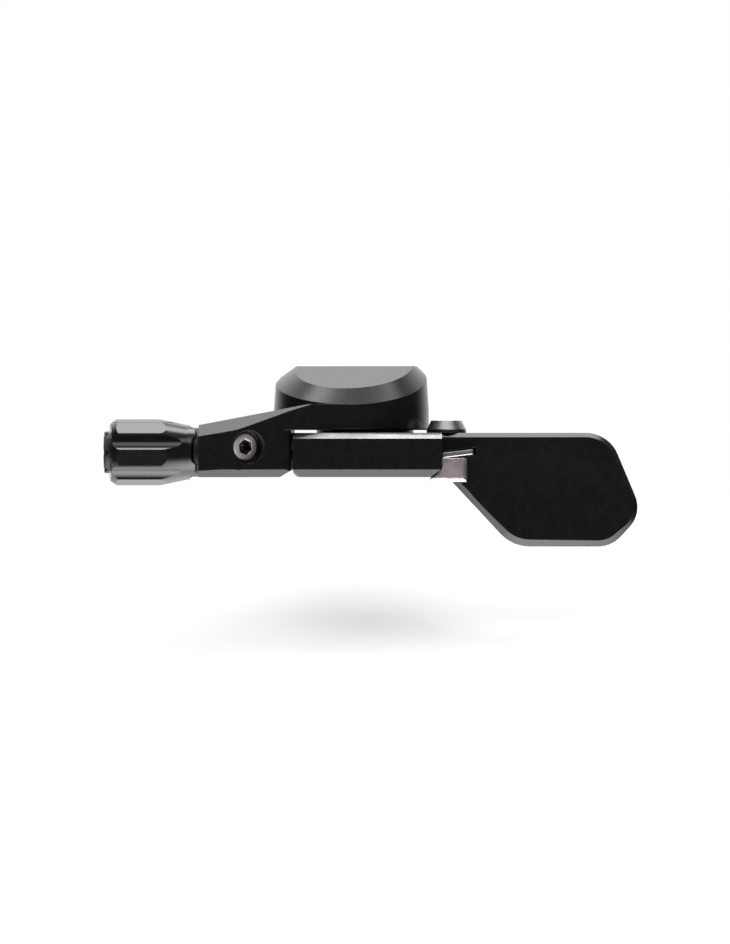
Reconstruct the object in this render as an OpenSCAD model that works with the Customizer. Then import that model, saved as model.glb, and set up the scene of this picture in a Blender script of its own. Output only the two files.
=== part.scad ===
// Remote lever for a dropper seat post, worn under a handlebar.
// The origin is the centre of the bar clamp hole, on the housing's flat top.
// +X runs along the lever to the tip of the paddle, +Z points up to the handlebar,
// and -Y points at the rider, whose thumb pushes the paddle towards +Y.

/* [Pivot housing] */
// Radius of the round housing at its lower edge
housing_r = 14.05; // [13.6:0.05:16]
// How much narrower the housing is under its top shoulder
housing_draft = 0.45; // [0.1:0.05:0.9]
// Height of the housing
housing_h = 11.6; // [11.2:0.1:13]
// Radius of the round shoulder between the flat top and the wall
shoulder_r = 1.2; // [0.8:0.1:2]
// How far the front facet falls for each millimetre towards the rider
facet_fall = 0.354; // [0.2:0.002:0.45]
// How far the front facet falls for each millimetre to the left
facet_side_fall = 0.04; // [0:0.01:0.08]
// Half of the opening angle of the cone that bevels the facet's edge
bevel_half_angle = 49.5; // [48:0.1:52]
// Height of that cone's point above the flat top
bevel_apex_h = 9; // [8.6:0.05:9.6]
// Distance of that cone's point to the right of the housing's axis
bevel_apex_right = 2.55; // [2:0.05:3]
// Lean of that cone towards the rider
bevel_lean_front = 8.5; // [7:0.1:10]
// Lean of that cone to the right
bevel_lean_side = 4.2; // [3:0.1:6]
// Distance from the housing's axis to the flat that slopes off to the left
left_flat_x = 11.2; // [10.8:0.1:12.5]
// How far that flat falls for each millimetre to the left
left_flat_fall = 1.25; // [1:0.05:1.5]
// Distance from the housing's axis back to the bar clamp hole
clamp_hole_back = 5.5; // [4.5:0.1:6.5]
// Core radius of the threaded bar clamp hole
clamp_hole_r = 2.1; // [1.6:0.05:2.5]

/* [Cable arm] */
// Length of the block at the end of the arm
block_len = 16.5; // [15:0.1:18]
// Height of the arm's top edge over the right end of the block, below the housing's top
arm_drop = 7.55; // [7.2:0.05:8]
// Fall of the arm's top for each millimetre to the left
arm_fall = 0.19; // [0.1:0.01:0.24]
// Fall of the arm's front facet for each millimetre towards the rider
arm_facet_fall = 0.47; // [0.3:0.01:0.6]
// Distance in front of the housing's axis where that facet starts
arm_facet_front = 14.5; // [13.5:0.1:15]
// Distance in front of the housing's axis to the block's front face
block_front = 19.05; // [18.6:0.05:20]
// Distance in front of the housing's axis to the block's back face
block_back = 7.2; // [6.8:0.1:8]
// Distance in front of the housing's axis to the arm's waist, beside the block
waist_front = 15.65; // [15.2:0.05:16]
// Width of the chamfer along the block's bottom
block_chamfer = 1.35; // [0.5:0.05:1.8]
// Radius of the block's upright corner beside the lever
block_corner_r = 1.8; // [0.8:0.1:2.5]
// Radius of the hollow where the arm's front runs from the waist to the housing
waist_r = 10; // [8:0.5:12]
// Lean of the gap between the block and the lever, to the right as it goes back
end_lean = 5; // [3:0.5:6]

/* [Cable line] */
// Distance in front of the housing's axis to the wire, where it leaves the block
wire_front = 11.4; // [11.2:0.05:12]
// Depth of the wire below the lever's top
wire_drop = 3.5; // [3.3:0.05:3.8]
// Radius of the drilled hole that the wire runs through
wire_hole_r = 1.5; // [1:0.1:1.6]
// Turn of the adjuster's axis towards the rider
cable_turn = 5; // [0:0.5:6]

/* [Cable adjuster] */
// Outer radius of the adjuster's threaded stem
stem_r = 2.48; // [2.2:0.02:2.7]
// Radius of the hole through the stem
stem_bore_r = 1; // [0.8:0.05:1.3]
// Length of the stem inside the block
stem_in_block = 12.6; // [11:0.1:13]
// Length of the stem inside the knob
stem_in_knob = 6.4; // [4:0.1:7]
// Radius of the knob over its ridges
knob_r = 5.95; // [5.6:0.05:6.6]
// Radius of the knob at its crown, beside the block
knob_neck_r = 4.95; // [4.85:0.01:5.2]
// Length of the knob
knob_len = 15.3; // [14.5:0.1:17]
// Length over which the knob tapers to its crown
knob_taper_len = 6.5; // [4:0.1:7]
// Length of the chamfer at the knob's free end
knob_chamfer_len = 1.15; // [0.8:0.05:2]
// Depth of that chamfer
knob_chamfer_depth = 0.8; // [0.5:0.05:1.8]
// Number of flutes round the knob
flute_count = 6; // [5:1:8]
// Radius of the cutter that mills a flute
flute_r = 2.6; // [2:0.1:3.2]
// Depth of a flute
flute_depth = 0.75; // [0.4:0.05:1]
// Depth of the flat along each ridge
ridge_flat = 0.2; // [0.05:0.05:0.3]
// Number of lobes in the knob's crown
lobe_count = 4; // [3:1:5]
// Distance from the spot face to the lobes' tips
crown_start = 1.05; // [0.9:0.05:1.2]
// Width of the recess between two lobes, at its floor
recess_w = 3.8; // [3:0.1:4.2]
// Outer radius of the detent collar that the lobes reach over
collar_r = 4.4; // [4.2:0.01:4.45]
// Height of the collar above the spot face
collar_h = 1.7; // [1.5:0.05:1.9]
// Radius of the socket for the cable housing
socket_r = 2.1; // [1.9:0.05:2.5]
// Depth of that socket
socket_depth = 8; // [5:0.1:8.2]
// Outer radius of the housing seat inside the knob
seat_r = 3.4; // [3.2:0.05:3.6]
// Outer radius of the housing seat's notched rim
seat_rim_r = 3.75; // [3.7:0.05:4]
// Height of that rim outside the knob
seat_rim_h = 0.85; // [0.6:0.05:1]
// Number of notches in the rim
seat_notches = 6; // [4:1:8]

/* [Lock screw] */
// Radius of the lock screw
lock_screw_r = 2.45; // [2:0.05:2.6]
// Length of the lock screw
lock_screw_len = 2.2; // [2:0.05:2.4]
// Distance of the screw's face from the block's left end
lock_screw_left = 8.43; // [7:0.01:9]
// Height of the screw above the wire
lock_screw_up = 0.95; // [0:0.05:1.2]
// Depth of the screw's face behind the block's front face
lock_screw_depth = 1.6; // [1.4:0.05:1.8]
// Turn of the screw's axis to the right
lock_screw_turn = 33; // [20:1:38]
// Radius of the counterbore at the mouth of its hole
lock_mouth_r = 2.95; // [2.7:0.05:3.2]
// Width of its hexagon socket across the flats
lock_hex = 2.5; // [2:0.5:3]

/* [Pivot] */
// Height of the bearing's lower face above the housing's bottom
bearing_lift = 1.5; // [1.3:0.05:1.8]
// Distance of the pivot to the right of the housing's axis
pivot_x = 2.47; // [1.5:0.01:2.8]
// Radius of the bearing's bore
bearing_bore_r = 5; // [4.5:0.05:5.2]
// Outer radius of the bearing
bearing_r = 9.5; // [9.3:0.05:9.8]
// Width of the bearing
bearing_w = 5; // [4.6:0.1:5.2]
// Radius of a bearing ball
ball_r = 1.15; // [0.9:0.05:1.2]
// Number of balls
ball_count = 11; // [8:1:12]
// Radius of the axle's flange
axle_flange_r = 6.2; // [5.8:0.05:6.3]
// Thickness of the axle's flange
axle_flange_h = 0.9; // [0.6:0.05:1]
// Depth of the axle's end inside the lever
axle_in_lever = 3; // [2:0.1:3.2]
// Thickness of the retaining ring
clip_h = 0.8; // [0.6:0.05:0.9]
// Radius of the dust shield between the bearing and the lever
shield_r = 8.8; // [8:0.05:9]
// Radius of the pivot bolt's thread
pivot_bolt_r = 2.48; // [2:0.02:2.6]
// Radius of the pivot bolt's head
pivot_head_r = 4.25; // [3.8:0.05:4.6]
// Height of the pivot bolt's head
pivot_head_h = 2.6; // [2:0.1:2.8]

/* [Lever] */
// Gap between the housing and the lever
lever_gap = 0.5; // [0.4:0.05:0.8]
// Height of the lever's arm
lever_h = 7.95; // [7.8:0.05:8.6]
// Radius of the lever's hub
hub_r = 13; // [12.4:0.05:13.5]
// Gap between the lever's end and the block
end_gap = 0.37; // [0.35:0.01:0.6]
// Distance in front of the pivot to the lever's front face
lever_front = 15.5; // [15.4:0.05:15.9]
// Distance from the housing's axis to the right end of that face
lever_front_right = 16.3; // [16:0.05:16.6]
// Height of the chamfer along the top of that face
lever_top_chamfer = 1.03; // [0.5:0.01:1.2]
// Depth of that chamfer, front to back
lever_top_depth = 1.45; // [1:0.05:1.6]
// Width of the chamfer along the bottom of that face
lever_bottom_chamfer = 1.35; // [0.5:0.05:1.4]

/* [Paddle] */
// Distance from the housing's axis to the paddle's tip
paddle_tip_x = 51.6; // [46:0.1:58]
// Height of the paddle
paddle_h = 20.5; // [18:0.1:24]
// Distance in front of the pivot to the paddle's face
paddle_front = 10.5; // [10.2:0.05:10.6]
// Distance from the paddle's tip to the centre of its rounded heel
heel_in = 19.4; // [18:0.1:21]
// Radius of that heel
heel_r = 7.3; // [6.5:0.1:8]
// Length of the paddle's root past the lever's front face
root_len = 16; // [15:0.1:17]
// Thickness of the paddle
paddle_t = 3.4; // [2.6:0.1:4]
// Depth of the rim's chamfer
rim_depth = 0.9; // [0.3:0.05:1.2]
// Depth of the thumb dish
dish_depth = 0.4; // [0.1:0.05:0.6]
// Length of the thumb dish
dish_len = 26; // [18:0.5:28]
// Height of the thumb dish
dish_h = 15.4; // [12:0.1:16]

/* [Cable clamp] */
// Distance of the clamp bolt to the right of the housing's axis
clamp_x = 17.17; // [17:0.01:17.6]
// Distance of the clamp bolt in front of the pivot
clamp_front = 6.6; // [6.4:0.05:7]
// Radius of the clamp bolt's thread
clamp_bolt_r = 1.98; // [1.5:0.02:2]
// Radius of the clamp bolt's head at its foot
clamp_head_r = 3.57; // [3:0.01:3.6]
// Radius of the clamp bolt's head at its top
clamp_head_top_r = 2.75; // [2.6:0.05:2.9]
// Height of the clamp bolt's head
clamp_head_h = 1.64; // [1.2:0.02:2]
// Thickness of the washer under that head
clamp_washer_h = 0.59; // [0.3:0.01:0.8]
// Thickness of the clamp plate
plate_t = 0.9; // [0.7:0.05:1]
// Width of the clamp plate's tab
tab_w = 4.5; // [4.2:0.05:4.8]
// Thickness of the clamp leaf
leaf_t = 0.9; // [0.6:0.05:0.95]
// Length of the clamp leaf along the lever
leaf_len = 5.7; // [5.2:0.05:6]
// Rise of the clamp leaf to the right
leaf_tilt = 6.8; // [4:0.1:7.5]
// Radius of the rubber bumper that the lever rests on
bumper_r = 1; // [0.8:0.05:1.1]

/* [Hidden] */
$fn = 72;

// Colours of the finishes
anodised = "#1c1c1e";
oxide = "#26262a";
steel = "#b9bcc0";
stainless = "#cdbfc3";
brass = "#b08d4c";
rubber = "#141414";
nylon = "#2c2c30";

// Clearances between the pieces
thread_fit = 0.05;
seat_fit = 0.02;
run_fit = 0.05;
slack = 0.1;
overrun = 1;
reach = 120;

// Levels, measured down from the housing's flat top
housing_bottom = -housing_h;
bearing_bottom = housing_bottom + bearing_lift;
bearing_mid = bearing_bottom + bearing_w / 2;
bearing_top = bearing_bottom + bearing_w;
flange_roof = bearing_top + axle_flange_h + 2 * slack;
lever_top = housing_bottom - lever_gap;
lever_bottom = lever_top - lever_h;
shield_top = housing_bottom + 0.35;
wire_z = lever_top - wire_drop;
arm_cap_z = -6.95;

// Places along the lever, measured from the housing's axis
lever_left = pivot_x - hub_r;
block_right = lever_left - end_gap;
block_left = block_right - block_len;
tab_right = lever_front_right + thread_fit + tab_w;
plate_left = lever_front_right - 2;

// The wire crosses the clamp where it left the block, between the tab and the leaf
tab_half = 0.5;
tab_front_y = -wire_front - tab_half;
tab_top = lever_top - wire_drop - 1.03;

// Bearing sizes that follow from its bore, its outside and its balls
pitch_r = (bearing_bore_r + bearing_r) / 2;
race_r = ball_r + slack;
inner_ring_r = pitch_r - 0.9;
outer_ring_r = pitch_r + 0.9;
seal_h = 0.4;

// Cable adjuster, measured out from the block along its own axis
crown_wall = knob_neck_r - collar_r - 3 * run_fit;
crown_floor = collar_h + 3 * slack;
knob_end = crown_start + knob_len;
stem_end = crown_floor + stem_in_knob;
seat_start = stem_end + slack;
seat_end = knob_end + 2 * slack;
knob_bore_r = stem_r + seat_fit;
o_ring_r = 0.45;

// A direction of length one
function unit(v) = v / norm(v);

// Points of the arc that rounds corner c between its neighbours p and n
function corner(p, c, n, r, steps = 6) =
    let (u = unit(p - c),
         v = unit(n - c),
         half = acos(u * v) / 2,
         centre = c + unit(u + v) * r / sin(half),
         a = c + u * r / tan(half) - centre,
         b = c + v * r / tan(half) - centre,
         start = atan2(a.y, a.x),
         turn = atan2(a.x * b.y - a.y * b.x, a * b))
    [for (i = [0:steps]) centre + r * [cos(start + turn * i / steps), sin(start + turn * i / steps)]];

// An outline from corners that each give x, y and the radius that rounds them
function rounded(path) =
    [for (i = [0:len(path) - 1])
        let (p = path[(i + len(path) - 1) % len(path)],
             c = path[i],
             n = path[(i + 1) % len(path)])
        each c.z == 0
            ? [[c.x, c.y]]
            : corner([p.x, p.y], [c.x, c.y], [n.x, n.y], c.z)];

// Points of a circle's arc
function arc(centre, r, from, to, steps = 8) =
    [for (i = [0:steps]) centre + r * [cos(from + (to - from) * i / steps), sin(from + (to - from) * i / steps)]];

// Moves a piece from the housing's axis to its place beside the bar clamp hole
module about_housing() {
    translate([0, -clamp_hole_back, 0]) children();
}

// Everything below the plane through p that rises by the two slopes along x and y
module below(p, slopes) {
    translate(p)
        rotate([atan(slopes.y * cos(atan(slopes.x))), -atan(slopes.x), 0])
        translate([-reach / 2, -reach / 2, -reach])
        cube(reach);
}

// Everything above such a plane
module above(p, slopes) {
    translate(p)
        rotate([atan(slopes.y * cos(atan(slopes.x))), -atan(slopes.x), 0])
        translate([-reach / 2, -reach / 2, 0])
        cube(reach);
}

// Stands a flat outline of x and z up, from y_front back through depth
module upright(y_front, depth) {
    translate([0, y_front + depth, 0]) rotate([90, 0, 0]) linear_extrude(depth) children();
}

// The adjuster's own axis: z runs out of the block's left end, x points up.
// It starts at the spot face, whose back edge is level with that end.
module on_cable() {
    inset = collar_r * tan(cable_turn);
    translate([block_left + inset, -wire_front - (block_len - inset) * tan(cable_turn), wire_z])
        rotate([0, 0, cable_turn])
        rotate([0, -90, 0])
        children();
}

// The lock screw's axis: z runs out of the block's front
module on_lock_screw() {
    translate([block_left + lock_screw_left, -block_front + lock_screw_depth, wire_z + lock_screw_up])
        rotate([0, 0, lock_screw_turn])
        rotate([90, 0, 0])
        children();
}

// The pivot's axis
module on_pivot() {
    translate([pivot_x, 0, 0]) children();
}

// A cylinder between two levels
module column(r, low, high) {
    translate([0, 0, low]) cylinder(r = r, h = high - low);
}

// A tube between two levels
module tube(r_out, r_in, low, high) {
    difference() {
        column(r_out, low, high);
        column(r_in, low - overrun, high + overrun);
    }
}

// A hexagon socket from its floor up through its mouth
module hex_socket(flats, floor, mouth) {
    translate([0, 0, floor]) cylinder(d = flats / cos(30), h = mouth - floor + overrun, $fn = 6);
}

// The round housing: a drafted wall, a front facet, the bevel round that facet and a flat at the left
module housing_form() {
    wall_r = housing_r - housing_draft;
    profile = concat(
        [[0, housing_bottom], [housing_r - 0.3, housing_bottom], [housing_r, housing_bottom + 0.3],
         [housing_r, housing_bottom + 3.6]],
        arc([wall_r - shoulder_r, -shoulder_r], shoulder_r, 0, 90, 10),
        [[0, 0]]);
    intersection() {
        rotate_extrude() polygon(profile);
        below([0, 0, 0], [facet_side_fall, facet_fall]);
        below([-left_flat_x, 0, 0], [left_flat_fall, 0]);
        translate([bevel_apex_right, 0, bevel_apex_h])
            rotate([bevel_lean_front, bevel_lean_side, 0])
            translate([0, 0, -reach])
            cylinder(h = reach, r1 = reach * tan(bevel_half_angle), r2 = 0);
    }
}

// The arm seen from above, from its end to where it joins the housing
arm_plan = rounded([
    [block_left - 2, -block_front + 0.35, 0],
    [block_left + 4, -block_front, 0],
    [block_right - 9.2, -block_front, 5],
    [block_right, -waist_front, waist_r],
    [-3, -sqrt(pow(housing_r, 2) - 9), 0],
    [2, -block_back, 0],
    [0, 9.5, 0],
    [-9.5, 9.5, 4],
    [block_left + 9, -block_back, 6],
    [block_left - 2, -block_back, 0]]);

// The block below the housing's underside seen from above
block_plan = rounded([
    [block_left - 2, -block_front + 0.35, 0],
    [block_left + 4, -block_front, 0],
    [block_right - 9.2, -block_front, 5],
    [block_right, -waist_front, block_corner_r],
    [block_right + (waist_front - block_back) * tan(end_lean), -block_back, 0.6],
    [block_left - 2, -block_back, 0]]);

// The arm with its sloping top, its front facet and its chamfered block
module arm_form() {
    arm_top = [block_right, -arm_facet_front, -arm_drop];
    waist_fall = (block_front - waist_front) / 9.2;
    waist_dir = unit([waist_fall, -1]);
    intersection() {
        union() {
            translate([0, 0, housing_bottom]) linear_extrude(housing_h) polygon(arm_plan);
            translate([0, 0, lever_bottom]) linear_extrude(-lever_bottom) polygon(block_plan);
        }
        below(arm_top, [arm_fall, 0]);
        below(arm_top, [arm_fall, arm_facet_fall]);
        translate([-reach / 2, -reach / 2, -reach]) cube([reach, reach, reach + arm_cap_z]);
        above([0, -block_front, lever_bottom + block_chamfer], [0, -1]);
        above([block_right, -waist_front, lever_bottom + block_chamfer], waist_dir);
        above([block_right, 0, lever_bottom + 1.15], [0.6, 0]);
        translate([block_left, -reach / 2, -reach / 2]) cube(reach);
    }
}

// One machined piece: housing, arm and cable block
module main_body() {
    color(anodised) about_housing() difference() {
        union() {
            housing_form();
            arm_form();
        }
        // Bar clamp hole, down to the roof over the axle's flange
        translate([0, clamp_hole_back, 0]) column(clamp_hole_r, flange_roof, overrun);
        // Pocket for the bearing, its retaining ring and the axle's flange
        on_pivot() {
            column(bearing_r + seat_fit, housing_bottom - overrun, bearing_top);
            column(bearing_r + 0.65, bearing_bottom - clip_h - slack, bearing_bottom);
            column(axle_flange_r + 4 * slack, bearing_top - slack, flange_roof);
        }
        // Spot face and bore for the collar, threaded bore for the stem, and the wire's hole
        on_cable() {
            column(knob_neck_r + 2 * slack, 0, 2 * overrun);
            column(stem_r + thread_fit, -stem_in_block - overrun, overrun);
            column(collar_r - 0.5 + seat_fit, -1.5 - seat_fit, overrun);
            column(wire_hole_r, -block_len - overrun, 0);
        }
        // Threaded bore for the lock screw, with a counterbored mouth
        on_lock_screw() {
            column(lock_screw_r + thread_fit, -lock_screw_len - 1.6, 0);
            column(lock_mouth_r, -0.25, 2 * lock_screw_len);
        }
        // Pocket for the rest bumper
        on_bumper() column(bumper_r + seat_fit, -1, overrun);
    }
}

// The rest bumper's axis: z runs out of the block's right end
module on_bumper() {
    bumper_front = wire_front - 1.3;
    translate([block_right + (waist_front - bumper_front) * tan(end_lean), -bumper_front, lever_top - 1])
        rotate([0, 0, -end_lean])
        rotate([0, 90, 0])
        children();
}

// Rubber pad that the lever's end comes to rest on
module rest_bumper() {
    color(rubber) about_housing() on_bumper() column(bumper_r, -1 + seat_fit, end_gap - slack);
}

module bearing_outer_ring() {
    color(steel) about_housing() on_pivot() difference() {
        tube(bearing_r, outer_ring_r, bearing_bottom, bearing_top);
        translate([0, 0, bearing_mid]) rotate_extrude() translate([pitch_r, 0]) circle(race_r);
    }
}

module bearing_inner_ring() {
    color(steel) about_housing() on_pivot() difference() {
        tube(inner_ring_r, bearing_bore_r, bearing_bottom, bearing_top);
        translate([0, 0, bearing_mid]) rotate_extrude() translate([pitch_r, 0]) circle(race_r);
    }
}

// Rubber seals at both faces of the bearing, held by its outer ring
module bearing_seals() {
    color(rubber) about_housing() on_pivot()
        for (low = [bearing_bottom, bearing_top - seal_h])
            tube(outer_ring_r - seat_fit, inner_ring_r + 0.15, low, low + seal_h);
}

// Nylon ring that keeps the balls apart
module bearing_cage() {
    color(nylon) about_housing() on_pivot() difference() {
        tube(pitch_r + 0.5, pitch_r - 0.5, bearing_mid - 1.6, bearing_mid + 1.6);
        place_balls() rotate([0, 90, 0]) column(race_r, -1, 1);
    }
}

module bearing_balls() {
    color(steel) about_housing() on_pivot() place_balls() sphere(ball_r, $fn = 32);
}

module place_balls() {
    for (i = [0:ball_count - 1])
        rotate([0, 0, 360 / ball_count * i]) translate([pitch_r, 0, bearing_mid]) children();
}

// Spring steel ring that holds the bearing up in its pocket
module retaining_ring() {
    ring_in = bearing_r - 1.1;
    ear_r = 0.95;
    ear_turn = 14;
    low = bearing_bottom - clip_h;
    color(oxide) about_housing() on_pivot() difference() {
        union() {
            tube(bearing_r + 0.5, ring_in, low, bearing_bottom);
            for (side = [-1, 1])
                rotate([0, 0, 90 + side * ear_turn]) translate([ring_in - 0.3, 0, 0]) column(ear_r, low, bearing_bottom);
        }
        for (side = [-1, 1])
            rotate([0, 0, 90 + side * ear_turn])
                translate([ring_in - 0.3, 0, 0]) column(0.45, low - overrun, bearing_bottom + overrun);
        translate([-1, 0, low - overrun]) cube([2, bearing_r + 2, clip_h + 2 * overrun]);
    }
}

// Flanged axle that stands in the bearing and in the lever
module pivot_axle() {
    color(steel) about_housing() on_pivot() difference() {
        union() {
            column(axle_flange_r, bearing_top, bearing_top + axle_flange_h);
            column(bearing_bore_r - seat_fit, lever_top - axle_in_lever, bearing_top);
        }
        column(pivot_bolt_r + seat_fit, lever_top - axle_in_lever - overrun, bearing_mid);
    }
}

// Turned shield that fills the mouth of the pocket and spaces the bearing from the lever
module dust_shield() {
    color(anodised) about_housing() on_pivot() difference() {
        union() {
            column(shield_r, lever_top, shield_top);
            column(inner_ring_r - 0.1, lever_top, bearing_bottom);
        }
        column(bearing_bore_r, lever_top - overrun, bearing_bottom + overrun);
    }
}

// Bolt from below that pulls the axle into the lever
module pivot_bolt() {
    head_low = lever_bottom + 3 * slack;
    head_high = head_low + pivot_head_h;
    color(oxide) about_housing() on_pivot() difference() {
        union() {
            column(pivot_head_r, head_low + 0.4, head_high);
            translate([0, 0, head_low]) cylinder(r1 = pivot_head_r - 0.4, r2 = pivot_head_r, h = 0.4);
            column(pivot_bolt_r, head_high, bearing_mid - 0.5);
        }
        mirror([0, 0, 1]) hex_socket(3, -head_high + 0.9, -head_low);
    }
}

// Corners of the paddle, clockwise from its root: x, z, radius, and the rim's width there
paddle_bottom = lever_top - paddle_h;
paddle_corners = [
    [lever_front_right - 2.4, lever_top - 1.7, 1.7, 0.8],
    [paddle_tip_x - 9.3, lever_top - 6.2, 6.2, 0.78],
    [paddle_tip_x - 5.2, lever_top - 13.4, 5.2, 0.75],
    [paddle_tip_x - 7.1, paddle_bottom + 5.5, 5.5, 1.1],
    [paddle_tip_x - heel_in, paddle_bottom + heel_r, heel_r, 1.25]];

// The paddle as one convex plate with a chamfered rim
module paddle_form() {
    hull() for (q = paddle_corners)
        translate([q[0], -paddle_front + paddle_t, q[1]]) rotate([90, 0, 0]) {
            cylinder(r1 = q[2] - 0.5, r2 = q[2], h = 0.5, $fn = 48);
            cylinder(r = q[2], h = paddle_t - rim_depth, $fn = 48);
            translate([0, 0, paddle_t - rim_depth])
                cylinder(r1 = q[2], r2 = q[2] - q[3], h = rim_depth, $fn = 48);
        }
}

// The lever's outline in the rider's view, without the paddle's tip
lever_view = rounded([
    [lever_left, lever_top, 0.3],
    [lever_front_right + root_len, lever_top, 0],
    [lever_front_right + root_len, paddle_bottom + heel_r - 3.1, 0],
    [lever_front_right + 2.6, lever_bottom - 1.6, 0],
    [lever_front_right + 1, lever_bottom, 1.2],
    [lever_left + 1.25, lever_bottom, 0],
    [lever_left, lever_bottom + 1.15, 0]]);

// The front rail's outline, cut back at its lower right for the clamp plate
rail_view = rounded([
    [lever_left, lever_top, 0.3],
    [lever_front_right, lever_top, 0.3],
    [lever_front_right, lever_bottom + 1.5, 0],
    [plate_left - thread_fit, lever_bottom, 0],
    [lever_left + 1.25, lever_bottom, 0],
    [lever_left, lever_bottom + 1.15, 0]]);

// The lever seen from above: front rail, hub side and the root of the paddle
lever_plan = rounded([
    [lever_left + 0.5, -paddle_front + rim_depth, 0],
    [lever_front_right + root_len - 1, -paddle_front + rim_depth, 0],
    [lever_front_right + root_len - 1, -paddle_front + paddle_t, 0],
    [lever_front_right + root_len - 5, -paddle_front + paddle_t + 0.3, 5],
    [clamp_x + 7, -clamp_front + 4.6, 5],
    [pivot_x + hub_r - 1, 5, 6],
    [pivot_x, 5, 0],
    [lever_left + 3, 0, 0],
    [lever_left + 0.9, -6, 0]]);

module rail_form() {
    side = [[-lever_front + lever_top_depth, lever_top],
        [-lever_front, lever_top - lever_top_chamfer],
        [-lever_front, lever_bottom + lever_bottom_chamfer],
        [-lever_front + lever_bottom_chamfer, lever_bottom],
        [-paddle_front + paddle_t, lever_bottom],
        [-paddle_front + paddle_t, lever_top]];
    intersection() {
        upright(-lever_front - overrun, lever_front) polygon(rail_view);
        translate([lever_left - overrun, 0, 0])
            rotate([90, 0, 90]) linear_extrude(lever_front_right - lever_left + 2 * overrun) polygon(side);
    }
}

// A barrel whose side just reaches into the paddle's face, which leaves a long shallow dish
module thumb_dish() {
    barrel_r = (pow(dish_h / 2, 2) + pow(dish_depth, 2)) / (2 * dish_depth);
    bulge_r = (pow(dish_len / 2, 2) + pow(dish_depth, 2)) / (2 * dish_depth);
    half = dish_len / 2 + 1;
    side = [for (i = [-8:8]) [barrel_r - bulge_r + sqrt(pow(bulge_r, 2) - pow(i / 8 * half, 2)), i / 8 * half]];
    translate([(lever_front_right + paddle_tip_x) / 2, -paddle_front + dish_depth - barrel_r, (lever_top + paddle_bottom) / 2])
        rotate([0, 90, 0])
        rotate_extrude($fn = 256)
        polygon(concat([[0, -half]], side, [[0, half]]));
}

// One machined piece: hub, front rail and paddle
module lever() {
    head_low = lever_bottom + 3 * slack;
    color(anodised) about_housing() difference() {
        union() {
            on_pivot() {
                column(hub_r, lever_bottom + 0.6, lever_top);
                translate([0, 0, lever_bottom]) cylinder(r1 = hub_r - 0.6, r2 = hub_r, h = 0.6);
            }
            rail_form();
            intersection() {
                translate([0, 0, paddle_bottom]) linear_extrude(paddle_h) polygon(lever_plan);
                upright(-reach / 2, reach) polygon(lever_view);
            }
            paddle_form();
        }
        // Left end, which leans with the block's right end
        translate([lever_left, -waist_front, lever_bottom - overrun])
            rotate([0, 0, -end_lean])
            translate([-3, -overrun, 0])
            cube([3, waist_front - 6 + overrun, lever_h + 2 * overrun]);
        // Seat for the axle, hole and counterbore for its bolt
        on_pivot() {
            column(bearing_bore_r, lever_top - axle_in_lever - seat_fit, lever_top + overrun);
            column(pivot_bolt_r + slack, lever_bottom - overrun, lever_top);
            column(pivot_head_r + slack, lever_bottom - overrun, head_low + pivot_head_h);
        }
        // Flared way for the wire, which lets it swing as the lever turns
        translate([0, 0, wire_z - 1.3]) linear_extrude(2.6) polygon([
            [lever_left - overrun, -wire_front - 0.9],
            [lever_front_right + overrun, -wire_front - 0.9],
            [lever_front_right + overrun, -paddle_front],
            [lever_front_right - 1, -paddle_front],
            [lever_left - overrun, -5.6]]);
        // Slot for the clamp leaf
        translate([lever_front_right + thread_fit, -paddle_front - overrun, tab_top + seat_fit - 0.2])
            rotate([0, -leaf_tilt, 0])
            translate([-0.6, 0, 0])
            cube([leaf_len + 1.1, paddle_front - clamp_front + 3.6 + overrun, leaf_t + 0.5]);
        // Hole for the clamp bolt and notch for the clamp plate
        translate([clamp_x, -clamp_front, 0]) column(clamp_bolt_r + slack, lever_bottom - 2, lever_top + overrun);
        translate([plate_left - slack, -paddle_front - overrun, lever_bottom - plate_t - thread_fit])
            cube([tab_right - plate_left + 3 * slack, paddle_front - clamp_front + 3.6 + overrun, plate_t + thread_fit]);
        thumb_dish();
    }
}

// Low head bolt that pulls the clamp plate up
module clamp_bolt() {
    foot = lever_top + clamp_washer_h;
    color(oxide) about_housing() translate([clamp_x, -clamp_front, 0]) difference() {
        union() {
            translate([0, 0, foot]) cylinder(r1 = clamp_head_r, r2 = clamp_head_top_r, h = clamp_head_h);
            column(clamp_bolt_r, lever_bottom - plate_t, foot);
        }
        hex_socket(2.5, foot + 0.2, foot + clamp_head_h);
    }
}

module clamp_washer() {
    color(oxide) about_housing() translate([clamp_x, -clamp_front, 0])
        tube(clamp_head_r, clamp_bolt_r + slack, lever_top, lever_top + clamp_washer_h);
}

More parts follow.
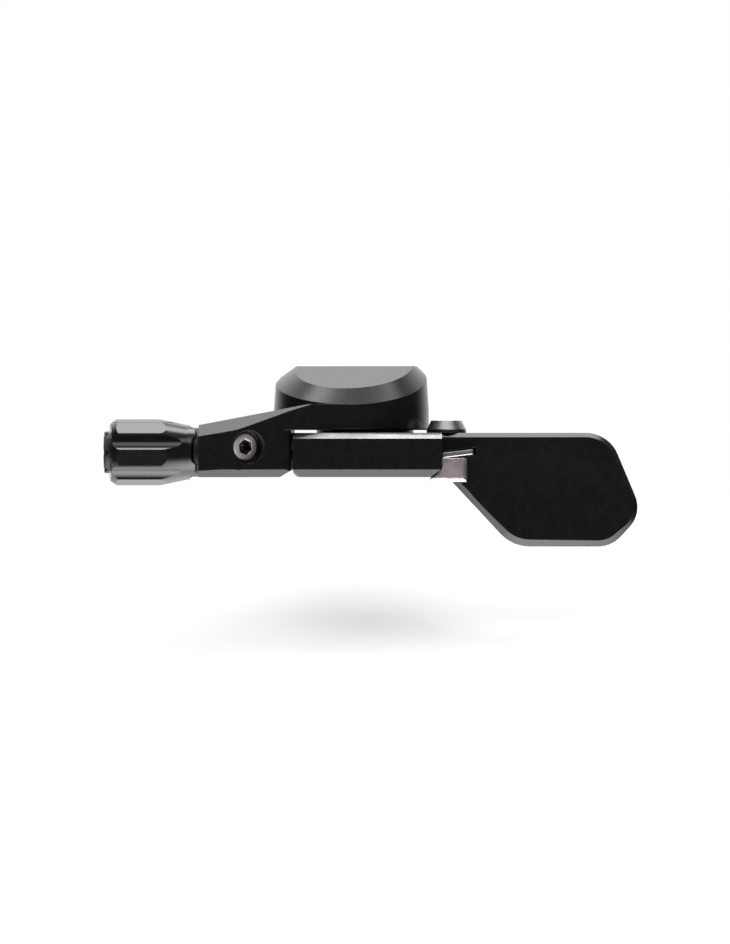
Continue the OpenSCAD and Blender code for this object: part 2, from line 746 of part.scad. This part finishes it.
// Pressed stainless plate under the lever, with a tab bent up in front of it
module clamp_plate() {
    low = lever_bottom - plate_t;
    bend_r = 0.9;
    plan = rounded([
        [plate_left, tab_front_y, 0.4],
        [tab_right, tab_front_y, 0.9],
        [tab_right, -clamp_front + 3.5, 2.8],
        [plate_left, -clamp_front + 3.5, 2.4]]);
    tab = rounded([
        [tab_right, tab_top, 0.35],
        [tab_right - tab_w, tab_top, 0.3],
        [tab_right - tab_w, lever_bottom + 1.4, 0],
        [plate_left, lever_bottom - 0.6, 0],
        [plate_left, low, 0.15],
        [tab_right, low, 0.3]]);
    color(stainless) about_housing() difference() {
        union() {
            translate([0, 0, low]) linear_extrude(plate_t) polygon(plan);
            intersection() {
                upright(tab_front_y, 2 * tab_half) polygon(tab);
                translate([0, 0, low]) linear_extrude(lever_h) polygon(plan);
            }
        }
        translate([clamp_x, -clamp_front, 0])
            column(clamp_bolt_r + seat_fit, low - overrun, lever_bottom + overrun);
        // Outside of the bend
        translate([plate_left - overrun, tab_front_y, low]) difference() {
            translate([0, -overrun, -overrun]) cube([reach / 8, bend_r + overrun, bend_r + overrun]);
            translate([-overrun, bend_r, bend_r]) rotate([0, 90, 0]) cylinder(r = bend_r, h = reach / 4);
        }
    }
}

// Loose stainless leaf over the wire, which the bolt also passes through
module clamp_leaf() {
    back = -clamp_front + 3.2;
    color(stainless) about_housing() difference() {
        translate([lever_front_right + thread_fit, tab_front_y - 0.5, tab_top + seat_fit])
            rotate([0, -leaf_tilt, 0])
            linear_extrude(leaf_t)
            polygon(rounded([
                [0, 0, 0.3],
                [leaf_len, 0, 0.4],
                [leaf_len, back - tab_front_y + 0.5, 1.8],
                [0, back - tab_front_y + 0.5, 0.4]]));
        translate([clamp_x, -clamp_front, 0]) column(clamp_bolt_r + 3 * slack, tab_top - 2, tab_top + 4);
    }
}

// Hexagon socket screw that locks the adjuster's thread
module lock_screw() {
    color(stainless) about_housing() on_lock_screw() difference() {
        union() {
            column(lock_screw_r, -lock_screw_len + 0.5, -0.25);
            translate([0, 0, -0.25]) cylinder(r1 = lock_screw_r, r2 = lock_screw_r - 0.25, h = 0.25);
            translate([0, 0, -lock_screw_len]) cylinder(r1 = lock_screw_r - 0.8, r2 = lock_screw_r, h = 0.5);
        }
        hex_socket(lock_hex, -1.4, 0);
    }
}

// Fixed collar that the knob's crown reaches over
module detent_collar() {
    color(nylon) about_housing() on_cable() difference() {
        union() {
            column(collar_r, 0, collar_h - 0.2);
            translate([0, 0, collar_h - 0.2]) cylinder(r1 = collar_r, r2 = collar_r - 0.2, h = 0.2);
            column(collar_r - 0.5, -1.5, 0);
        }
        column(stem_r + run_fit, -2, collar_h + overrun);
        column(stem_r + 2 * o_ring_r + run_fit, 0.15, 0.15 + 2 * o_ring_r + seat_fit);
    }
}

// Rubber ring that drags on the stem and keeps the setting
module stem_o_ring() {
    color(rubber) about_housing() on_cable()
        translate([0, 0, 0.16 + o_ring_r])
        rotate_extrude() translate([stem_r + o_ring_r + 0.03, 0]) circle(o_ring_r, $fn = 24);
}

// Hollow threaded stem, pressed into the knob
module adjuster_stem() {
    color(brass) about_housing() on_cable() difference() {
        union() {
            column(stem_r, -stem_in_block + 0.5, stem_end);
            translate([0, 0, -stem_in_block]) cylinder(r1 = stem_r - 0.5, r2 = stem_r, h = 0.5);
        }
        column(stem_bore_r, -stem_in_block - overrun, stem_end + overrun);
    }
}

// Fluted knob with a lobed crown
module adjuster_knob() {
    taper_end = crown_start + knob_taper_len;
    crown_r = knob_neck_r - crown_wall;
    flute_turn = 10;
    recess_turn = 5;
    recess_floor = crown_floor + slack;
    recess = [
        [overrun, -recess_w / 2 - 1.2],
        [-crown_start, -recess_w / 2 - 0.85],
        [-crown_start - 0.6, -recess_w / 2 - 0.4],
        [-recess_floor, -recess_w / 2],
        [-recess_floor, recess_w / 2],
        [-crown_start - 0.6, recess_w / 2 + 0.4],
        [-crown_start, recess_w / 2 + 0.85],
        [overrun, recess_w / 2 + 1.2]];
    profile = [
        [knob_bore_r, crown_floor],
        [crown_r, crown_floor],
        [crown_r, crown_start],
        [knob_neck_r - 0.25, crown_start],
        [knob_neck_r - 0.1, crown_start + 0.3],
        [knob_neck_r, crown_start + 1.6],
        [knob_r - 0.04, taper_end - 0.3],
        [knob_r, taper_end + 0.5],
        [knob_r, knob_end - knob_chamfer_len],
        [knob_r - knob_chamfer_depth, knob_end],
        [seat_r + run_fit, knob_end],
        [seat_r + run_fit, stem_end],
        [knob_bore_r, stem_end]];
    color(anodised) about_housing() on_cable() difference() {
        intersection() {
            rotate_extrude() polygon(profile);
            rotate([0, 0, -flute_turn])
                column((knob_r - ridge_flat) / cos(180 / flute_count), 0, knob_end + overrun, $fn = flute_count);
        }
        for (i = [0:flute_count - 1])
            rotate([0, 0, 360 / flute_count * i - flute_turn])
                translate([knob_r - flute_depth + flute_r, 0, 0]) column(flute_r, -overrun, knob_end + overrun);
        for (i = [0:lobe_count - 1])
            rotate([0, 0, 360 / lobe_count * i + recess_turn])
                rotate([0, 90, 0]) linear_extrude(knob_r + overrun) polygon(recess);
    }
}

// Seat for the cable housing, which stays still while the knob turns round it
module housing_seat() {
    floor = seat_end + seat_rim_h - socket_depth;
    rim_top = seat_end + seat_rim_h;
    color(nylon) about_housing() on_cable() difference() {
        union() {
            column(seat_r, seat_start, rim_top);
            column(seat_rim_r, seat_end, rim_top - 0.15);
            translate([0, 0, rim_top - 0.15]) cylinder(r1 = seat_rim_r, r2 = seat_rim_r - 0.15, h = 0.15);
        }
        column(socket_r, floor, rim_top + overrun);
        column(stem_bore_r, seat_start - overrun, floor);
        translate([0, 0, rim_top - 0.5]) cylinder(r1 = socket_r, r2 = socket_r + 0.9, h = 0.5 + seat_fit);
        for (i = [0:seat_notches - 1])
            rotate([0, 0, 360 / seat_notches * (i + 0.5)])
                translate([0, 0, rim_top + 0.1]) rotate([0, 90, 0]) column(0.62, seat_r - 0.5, seat_rim_r + overrun);
    }
}

main_body();
bearing_outer_ring();
bearing_seals();
retaining_ring();
rest_bumper();
lock_screw();
detent_collar();
stem_o_ring();
bearing_cage();
bearing_balls();
lever();
pivot_axle();
bearing_inner_ring();
dust_shield();
pivot_bolt();
clamp_bolt();
clamp_washer();
clamp_plate();
clamp_leaf();
housing_seat();
adjuster_stem();
adjuster_knob();
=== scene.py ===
# Under-bar remote lever for a dropper seat post, seen from the rider's side.
# The camera and the studio come first, then the lever's pieces in the order they are put together.
import math

import bmesh
import bpy
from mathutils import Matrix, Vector


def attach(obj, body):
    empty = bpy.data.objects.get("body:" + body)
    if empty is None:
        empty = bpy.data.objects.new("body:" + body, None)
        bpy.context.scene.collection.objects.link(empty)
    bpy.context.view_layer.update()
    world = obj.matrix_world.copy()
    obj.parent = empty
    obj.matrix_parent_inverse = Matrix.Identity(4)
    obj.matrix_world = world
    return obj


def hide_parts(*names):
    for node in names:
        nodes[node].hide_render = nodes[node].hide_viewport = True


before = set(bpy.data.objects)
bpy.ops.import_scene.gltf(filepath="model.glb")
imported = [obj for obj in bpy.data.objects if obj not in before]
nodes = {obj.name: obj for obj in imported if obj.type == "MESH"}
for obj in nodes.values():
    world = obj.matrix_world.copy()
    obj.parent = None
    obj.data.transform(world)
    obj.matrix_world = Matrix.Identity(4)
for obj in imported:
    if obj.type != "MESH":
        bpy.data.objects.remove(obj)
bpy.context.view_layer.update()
scene = bpy.context.scene
MM = 0.001


# The camera: level with the gap between the housing and the lever, far off, with a long lens,
# so that it looks straight through the gap. A small shift puts the lever where the photograph has it.
image_height_px = 944
px_per_mm = 5.55
image_height_mm = image_height_px / px_per_mm
camera_distance_mm = 1500
look_at_mm = (2.47, -16, -12)
frame_centre_z_mm = -19.15
sensor_mm = 36
camera_data = bpy.data.cameras.new("camera")
camera_data.sensor_width = sensor_mm
camera_data.lens = sensor_mm * camera_distance_mm / image_height_mm
camera_data.shift_y = (frame_centre_z_mm - look_at_mm[2]) / image_height_mm
camera_data.clip_end = 20
camera = bpy.data.objects.new("camera", camera_data)
camera.location = Vector((look_at_mm[0], look_at_mm[1] - camera_distance_mm, look_at_mm[2])) * MM
camera.rotation_euler = (math.pi / 2, 0, 0)
scene.collection.objects.link(camera)
scene.camera = camera
scene.view_settings.view_transform = "Standard"


# The studio: a pale wall far back, soft light overhead and below, and a dark room round the camera,
# all of them seen only in reflections. Matte surfaces are lit by a strip overhead and a little room
# light, which make the soft shadow, and the camera itself sees plain white.
def node(tree, kind, **settings):
    made = tree.nodes.new(kind)
    for name, value in settings.items():
        setattr(made, name, value)
    return made


def put(tree, target, socket, value):
    """Links value to the socket if it is an output, else sets it as the socket's own value."""
    if isinstance(value, bpy.types.NodeSocket):
        tree.links.new(value, target.inputs[socket])
    else:
        target.inputs[socket].default_value = value


def calculate(tree, operation, *values):
    made = node(tree, "ShaderNodeMath", operation=operation)
    for socket, value in enumerate(values):
        put(tree, made, socket, value)
    return made.outputs[0]


def ramp(tree, value, low, high, out_low=0.0, out_high=1.0):
    made = node(tree, "ShaderNodeMapRange", interpolation_type="SMOOTHSTEP")
    for socket, v in enumerate((value, low, high, out_low, out_high)):
        put(tree, made, socket, v)
    return made.outputs[0]


world = bpy.data.worlds.new("studio")
scene.world = world
world.use_nodes = True
sky = world.node_tree
sky.nodes.clear()
direction = node(sky, "ShaderNodeTexCoord").outputs["Generated"]
split = node(sky, "ShaderNodeSeparateXYZ")
put(sky, split, 0, direction)
side, back, up = split.outputs


def sky_light(up_ends, brightness, back_ends, back_shares=(0.0, 1.0)):
    """A patch of light that fades in between two heights, and between two places front to back."""
    by_height = ramp(sky, up, *up_ends, 0.0, brightness)
    return calculate(sky, "MULTIPLY", by_height, ramp(sky, back, *back_ends, *back_shares))


# Directions run from -1 to 1. Up is the sky, and back is away from the camera
dark_room = 0.04
wall = ramp(sky, back, 0.45, 0.95, dark_room, 1.0)
haze = sky_light(up_ends=(0.15, 0.75), brightness=1.25, back_ends=(0.1, 0.6))
overhead = sky_light(up_ends=(0.84, 0.925), brightness=1.0, back_ends=(-0.06, 0.06), back_shares=(0.25, 5.0))
light_table = sky_light(up_ends=(-0.35, -0.9), brightness=2.4, back_ends=(0.0, -0.35), back_shares=(1.0, 1.8))
front_fill = sky_light(up_ends=(0.55, 0.75), brightness=1.5, back_ends=(-0.3, -0.5))
reflected = wall
for light in (haze, overhead, light_table, front_fill):
    reflected = calculate(sky, "ADD", reflected, light)

room_light = 0.4
to_side = calculate(sky, "ABSOLUTE", side)
strip = calculate(sky, "MULTIPLY", ramp(sky, to_side, 0.5, 0.0, 0.0, 4.2), ramp(sky, up, 0.3, 0.8))
path = node(sky, "ShaderNodeLightPath")
lit = node(sky, "ShaderNodeMix", data_type="FLOAT")
put(sky, lit, 0, path.outputs["Is Diffuse Ray"])
put(sky, lit, 2, reflected)
put(sky, lit, 3, calculate(sky, "ADD", strip, room_light))
seen = node(sky, "ShaderNodeMix", data_type="FLOAT")
put(sky, seen, 0, path.outputs["Is Camera Ray"])
put(sky, seen, 2, lit.outputs[0])
put(sky, seen, 3, 1.0)
background = node(sky, "ShaderNodeBackground")
put(sky, background, "Color", (1, 1, 1, 1))
put(sky, background, "Strength", seen.outputs[0])
put(sky, node(sky, "ShaderNodeOutputWorld"), 0, background.outputs[0])


# The floor: a sheet of white paper below the lever, leaning back a little,
# which takes the lever's soft shadow. Nothing of it shows in the lever's finishes.
floor_below_mm = 48.3
floor_width_mm = 900
floor_depth_mm = 600
floor_centre_mm = (2.5, -200)
shadow_y_mm = -16
floor_lean = math.radians(12)
floor_drop_mm = floor_below_mm + (shadow_y_mm - floor_centre_mm[1]) * math.tan(floor_lean)
bpy.ops.object.select_all(action="DESELECT")
bpy.ops.mesh.primitive_plane_add(size=1)
floor = bpy.context.object
floor.name = "floor"
floor.scale = (floor_width_mm * MM, floor_depth_mm * MM, 1)
floor.location = Vector((*floor_centre_mm, -floor_drop_mm)) * MM
floor.rotation_euler = (floor_lean, 0, 0)
floor.visible_glossy = False
floor.visible_diffuse = False
floor.visible_shadow = False
paper = bpy.data.materials.new("white_paper")
paper.use_nodes = True
paper_grey = 0.6
paper_glow = 0.26
paper_shader = paper.node_tree.nodes["Principled BSDF"]
paper_shader.inputs["Base Color"].default_value = (paper_grey, paper_grey, paper_grey, 1)
paper_shader.inputs["Emission Color"].default_value = (1, 1, 1, 1)
paper_shader.inputs["Emission Strength"].default_value = paper_glow
paper_shader.inputs["Roughness"].default_value = 1
paper_shader.inputs["Specular IOR Level"].default_value = 0
floor.data.materials.append(paper)


# The main body: housing, arm and cable block, milled from one bar of aluminium,
# then bead blasted and anodised satin black. The blasting breaks its edges, and the edges carry a painted
# highlight.
def new_group(name, inputs, outputs):
    group = bpy.data.node_groups.new(name, "ShaderNodeTree")
    for kind, sockets in (("INPUT", inputs), ("OUTPUT", outputs)):
        for label, socket_type in sockets:
            group.interface.new_socket(label, in_out=kind, socket_type=socket_type)
    return group, node(group, "NodeGroupInput").outputs, node(group, "NodeGroupOutput").inputs


# Blasted or moulded grain: a fine height and a slow blotchy mask, on a piece's own coordinates
grain_group, given, wanted = new_group(
    "surface_grain",
    (("Scale", "NodeSocketFloat"), ("Detail", "NodeSocketFloat")),
    (("Height", "NodeSocketFloat"), ("Blotches", "NodeSocketFloat")),
)
place = node(grain_group, "ShaderNodeTexCoord").outputs["Object"]
fine = node(grain_group, "ShaderNodeTexNoise")
put(grain_group, fine, "Vector", place)
put(grain_group, fine, "Scale", given["Scale"])
put(grain_group, fine, "Detail", given["Detail"])
slow = node(grain_group, "ShaderNodeTexNoise")
put(grain_group, slow, "Vector", place)
blotch_scale = 0.06
put(grain_group, slow, "Scale", calculate(grain_group, "MULTIPLY", given["Scale"], blotch_scale))
put(grain_group, slow, "Detail", 4.0)
grain_group.links.new(fine.outputs[0], wanted["Height"])
grain_group.links.new(ramp(grain_group, slow.outputs[0], 0.35, 0.65), wanted["Blotches"])

# Broken edges: the normal rounded over a short way, and a mask of where that happens
edge_group, given, wanted = new_group(
    "broken_edges",
    (("Radius", "NodeSocketFloat"),),
    (("Normal", "NodeSocketVector"), ("Edge", "NodeSocketFloat")),
)
rounded = node(edge_group, "ShaderNodeBevel", samples=6)
put(edge_group, rounded, "Radius", given["Radius"])
flat = node(edge_group, "ShaderNodeNewGeometry")
likeness = node(edge_group, "ShaderNodeVectorMath", operation="DOT_PRODUCT")
put(edge_group, likeness, 0, rounded.outputs[0])
put(edge_group, likeness, 1, flat.outputs["Normal"])
edge_group.links.new(rounded.outputs[0], wanted["Normal"])
edge_group.links.new(ramp(edge_group, likeness.outputs["Value"], 0.995, 0.9), wanted["Edge"])


def finish(name, colour, roughness, metallic=0.0, ior=1.5, other_colour=None, edge_highlight_colour=None,
           grain_mm=0.1, grain_depth_mm=0.004, grain_detail=2.0, rough_spread=0.05, edge_mm=0.12):
    """A finish with grain, blotches, broken edges and a painted highlight along the edges. The colours are
    linear.
    """
    made = bpy.data.materials.new(name)
    made.use_nodes = True
    tree = made.node_tree
    shader = tree.nodes["Principled BSDF"]
    shader.inputs["Metallic"].default_value = metallic
    shader.inputs["IOR"].default_value = ior
    grain = node(tree, "ShaderNodeGroup", node_tree=grain_group)
    put(tree, grain, "Scale", 1 / (grain_mm * MM))
    put(tree, grain, "Detail", grain_detail)
    edges = node(tree, "ShaderNodeGroup", node_tree=edge_group)
    put(tree, edges, "Radius", edge_mm * MM)
    tint = node(tree, "ShaderNodeMix", data_type="RGBA")
    put(tree, tint, 0, grain.outputs["Blotches"])
    put(tree, tint, 6, (*colour, 1))
    put(tree, tint, 7, (*(other_colour or [1.5 * c for c in colour]), 1))
    # The edges are painted lighter in the edge colour: a painted highlight along every edge.
    painted_edge_highlight = node(tree, "ShaderNodeMix", data_type="RGBA")
    put(tree, painted_edge_highlight, 0, edges.outputs["Edge"])
    put(tree, painted_edge_highlight, 6, tint.outputs[2])
    put(tree, painted_edge_highlight, 7, (*(edge_highlight_colour or [3 * c for c in colour]), 1))
    put(tree, shader, "Base Color", painted_edge_highlight.outputs[2])
    put(tree, shader, "Roughness", ramp(tree, grain.outputs["Height"], 0.3, 0.7,
                                        roughness - rough_spread, roughness + rough_spread))
    bump = node(tree, "ShaderNodeBump")
    put(tree, bump, "Distance", grain_depth_mm * MM)
    put(tree, bump, "Height", grain.outputs["Height"])
    put(tree, bump, "Normal", edges.outputs["Normal"])
    put(tree, shader, "Normal", bump.outputs[0])
    return made


def dress(material, *names):
    """Gives CAD nodes their one finish."""
    for name in names:
        nodes[name].data.materials.clear()
        nodes[name].data.materials.append(material)


anodised = finish("satin_black_anodised", (0.0045, 0.0045, 0.0048), 0.26, ior=1.62,
                  edge_highlight_colour=(0.012, 0.012, 0.013), grain_mm=0.09, grain_depth_mm=0.0035, edge_mm=0.16)
dress(anodised, "main_body")


# The ball bearing in the housing: two ground rings with 11 balls in a nylon cage between rubber
# seals, pressed into its pocket and held there by a black spring ring. The lever's axle runs in it.
ground_steel = finish("ground_steel", (0.55, 0.55, 0.57), 0.22, metallic=1.0, other_colour=(0.6, 0.6, 0.62),
                      edge_highlight_colour=(0.7, 0.7, 0.72), grain_mm=0.3, grain_depth_mm=0.001, edge_mm=0.1)
dress(ground_steel, "bearing_outer_ring", "bearing_inner_ring", "bearing_balls", "pivot_axle")
nylon = finish("moulded_nylon", (0.012, 0.012, 0.013), 0.45, grain_mm=0.25, grain_depth_mm=0.006, edge_mm=0.1)
dress(nylon, "bearing_cage")
rubber = finish("rubber", (0.009, 0.009, 0.009), 0.65, grain_mm=0.2, grain_depth_mm=0.006)
dress(rubber, "bearing_seals")
black_oxide = finish("black_oxide", (0.012, 0.012, 0.013), 0.35, ior=1.7, edge_highlight_colour=(0.05, 0.05, 0.05),
                     grain_mm=0.15, grain_depth_mm=0.003)
dress(black_oxide, "retaining_ring")


# The lever: hub, front rail and thumb paddle, milled from one piece of aluminium and finished
# as the body is, but for its rail's top edge, chamfered at 45 degrees, whose brighter metal finish is a
# painted highlight.
# A turned shield covers the bearing, a black bolt holds the axle, and a rubber pad stops the lever.
dress(anodised, "dust_shield")
dress(black_oxide, "pivot_bolt")
dress(rubber, "rest_bumper")


def merged_copy(name):
    """A copy of a CAD node's mesh with its loose triangles joined, which stands for that node."""
    bpy.ops.object.select_all(action="DESELECT")
    made = nodes[name].copy()
    made.data = nodes[name].data.copy()
    made.name = name + "_finished"
    scene.collection.objects.link(made)
    made.select_set(True)
    bpy.context.view_layer.objects.active = made
    bpy.ops.object.mode_set(mode="EDIT")
    bpy.ops.mesh.select_all(action="SELECT")
    bpy.ops.mesh.customdata_custom_splitnormals_clear()
    bpy.ops.mesh.remove_doubles(threshold=0.002 * MM)
    bpy.ops.mesh.dissolve_limited(angle_limit=math.radians(0.3))
    bpy.ops.object.mode_set(mode="OBJECT")
    bpy.ops.object.shade_smooth_by_angle(angle=math.radians(22))
    made.data.materials.clear()
    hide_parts(name)
    return made


lever = merged_copy("lever")
lever.data.materials.append(anodised)
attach(lever, "lever")
lever_top_mm = -12.1
rail_front_mm = -21.0
cad_chamfer_mm = 1.45
chamfer_mm = 1.03
top_slack_mm = 0.01
chamfer_slack_mm = 0.03
# The rail's top chamfer gets a brighter metal finish: a painted highlight of the light overhead.
chamfer_painted_highlight = finish("painted_highlight_chamfer", (0.3, 0.3, 0.31), 0.3, metallic=1.0, other_colour=(0.36, 0.36, 0.37),
                    edge_highlight_colour=(0.3, 0.3, 0.3), grain_mm=0.12, grain_depth_mm=0.002, edge_mm=0.05)
lever.data.materials.append(chamfer_painted_highlight)
for corner in lever.data.vertices:
    at_top = abs(corner.co.z - lever_top_mm * MM) < top_slack_mm * MM
    at_chamfer = abs(corner.co.y - (rail_front_mm + cad_chamfer_mm) * MM) < chamfer_slack_mm * MM
    if at_top and at_chamfer:
        corner.co.y = (rail_front_mm + chamfer_mm) * MM
lever.data.update()
for face in lever.data.polygons:
    middle = face.center / MM
    slopes_up = face.normal.z > 0.6 and face.normal.y < -0.6
    if slopes_up and middle.y < rail_front_mm + cad_chamfer_mm and middle.z > lever_top_mm - chamfer_mm:
        face.material_index = 1


# The cable clamp: a low head bolt of dark plated steel on a black washer, and under it a bent
# plate and a loose leaf, stamped from stainless. Tumbling leaves the plate pitted.
plated_steel = finish("dark_plated_steel", (0.42, 0.42, 0.43), 0.36, metallic=1.0,
                      other_colour=(0.48, 0.48, 0.49), edge_highlight_colour=(0.5, 0.5, 0.5),
                      grain_mm=0.12, grain_depth_mm=0.003, edge_mm=0.15)
dress(plated_steel, "clamp_bolt")
dress(black_oxide, "clamp_washer")
tumbled = finish("tumbled_stainless", (0.5, 0.4, 0.42), 0.5, metallic=1.0, other_colour=(0.74, 0.66, 0.69),
                 edge_highlight_colour=(0.95, 0.9, 0.92), grain_mm=0.16, grain_depth_mm=0.05, grain_detail=4.0,
                 rough_spread=0.12, edge_mm=0.3)
dress(tumbled, "clamp_plate")
stainless = finish("stainless", (0.8, 0.7, 0.74), 0.33, metallic=1.0, other_colour=(0.88, 0.8, 0.83),
                   edge_highlight_colour=(0.97, 0.93, 0.95), grain_mm=0.12, grain_depth_mm=0.03, edge_mm=0.3)
dress(stainless, "clamp_leaf")


# The lock screw: a stainless set screw that holds the adjuster's thread. The walls and the drilled
# bottom of its hexagon socket are painted dark, a painted shade, and its rim is rounded and left bright.
def select_faces(piece, wanted_faces):
    """In edit mode, selects only the faces that the test picks."""
    shape = bmesh.from_edit_mesh(piece.data)
    for part in (*shape.verts, *shape.edges, *shape.faces):
        part.select_set(False)
    for face in shape.faces:
        if wanted_faces(face):
            face.select_set(True)
    shape.select_flush_mode()
    bmesh.update_edit_mesh(piece.data)


def add_cone(low_r_mm, high_r_mm, low_mm, high_mm):
    """A round cutter along z between two heights."""
    middle_mm = (low_mm + high_mm) / 2
    bpy.ops.mesh.primitive_cone_add(vertices=48, radius1=low_r_mm * MM, radius2=high_r_mm * MM,
                                    depth=(high_mm - low_mm) * MM, location=(0, 0, middle_mm * MM))
    return bpy.context.object


screw_r_mm = 2.45
screw_len_mm = 2.2
rim_mm = 0.25
rim_segments = 3
hex_flats_mm = 2.5
hex_depth_mm = 1.4
hex_turn = math.radians(8)
bpy.ops.object.select_all(action="DESELECT")
bpy.ops.mesh.primitive_cylinder_add(vertices=72, radius=screw_r_mm * MM, depth=screw_len_mm * MM,
                                    location=(0, 0, -screw_len_mm / 2 * MM))
lock_screw = bpy.context.object
lock_screw.name = "lock_screw_finished"
bpy.ops.object.transform_apply(location=True, rotation=True, scale=True)
bpy.ops.object.mode_set(mode="EDIT")
for end in (1, -1):
    select_faces(lock_screw, lambda face: face.normal.z * end > 0.9)
    bpy.ops.mesh.bevel(offset=rim_mm * MM, segments=rim_segments, affect="EDGES")
bpy.ops.object.mode_set(mode="OBJECT")

# The socket's dark finish is painted shade in the hexagon's hollow.
painted_socket_shade = finish("socket_painted_shade", (0.06, 0.035, 0.035), 0.3, metallic=1.0,
                     other_colour=(0.16, 0.1, 0.1), edge_highlight_colour=(0.4, 0.3, 0.3),
                     grain_mm=0.3, grain_depth_mm=0.01, edge_mm=0.08)
rim_steel = finish("bright_stainless", (0.85, 0.76, 0.78), 0.55, metallic=1.0,
                   other_colour=(0.98, 0.93, 0.95), edge_highlight_colour=(1.0, 0.97, 0.98),
                   grain_mm=0.2, grain_depth_mm=0.05, edge_mm=0.4)
bpy.ops.mesh.primitive_cylinder_add(vertices=6, radius=hex_flats_mm / 2 / math.cos(math.pi / 6) * MM,
                                    depth=2 * hex_depth_mm * MM, rotation=(0, 0, hex_turn))
hexagon = bpy.context.object
drill = add_cone(low_r_mm=0, high_r_mm=1.5, low_mm=-1.97, high_mm=-0.47)
countersink = add_cone(low_r_mm=0.2, high_r_mm=1.9, low_mm=-0.92, high_mm=0.48)
lock_screw.data.materials.append(rim_steel)
for cutter, material in ((hexagon, painted_socket_shade), (drill, painted_socket_shade), (countersink, rim_steel)):
    cutter.data.materials.append(material)
    bpy.ops.object.select_all(action="DESELECT")
    lock_screw.select_set(True)
    bpy.context.view_layer.objects.active = lock_screw
    cut = lock_screw.modifiers.new("socket", "BOOLEAN")
    cut.operation = "DIFFERENCE"
    cut.solver = "EXACT"
    cut.material_mode = "TRANSFER"
    cut.object = cutter
    bpy.ops.object.modifier_apply(modifier="socket")
    bpy.data.objects.remove(cutter)

screw_end_mm = (-18.97, -22.95, -14.65)
screw_turn = math.radians(33)
lock_screw.rotation_euler = (math.radians(90), 0, screw_turn)
lock_screw.location = Vector(screw_end_mm) * MM
bpy.ops.object.transform_apply(location=True, rotation=True, scale=True)
bpy.ops.object.shade_smooth_by_angle(angle=math.radians(25))
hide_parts("lock_screw")
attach(lock_screw, "body")


# The cable adjuster: a hollow stem of blackened brass, pressed into a fluted knob of polished
# and anodised aluminium. The knob clicks over a nylon collar and turns round the nylon seat for
# the cable housing, and a rubber ring drags on the stem.
blackened_brass = finish("blackened_brass", (0.03, 0.022, 0.014), 0.4, metallic=1.0, grain_mm=0.2)
dress(blackened_brass, "adjuster_stem")
knob_anodised = finish("bright_black_anodised", (0.0045, 0.0045, 0.0048), 0.17, ior=1.7,
                       edge_highlight_colour=(0.014, 0.014, 0.015), grain_mm=0.12, grain_depth_mm=0.0012, edge_mm=0.12)
dress(knob_anodised, "adjuster_knob")
dress(nylon, "detent_collar", "housing_seat")
dress(rubber, "stem_o_ring")
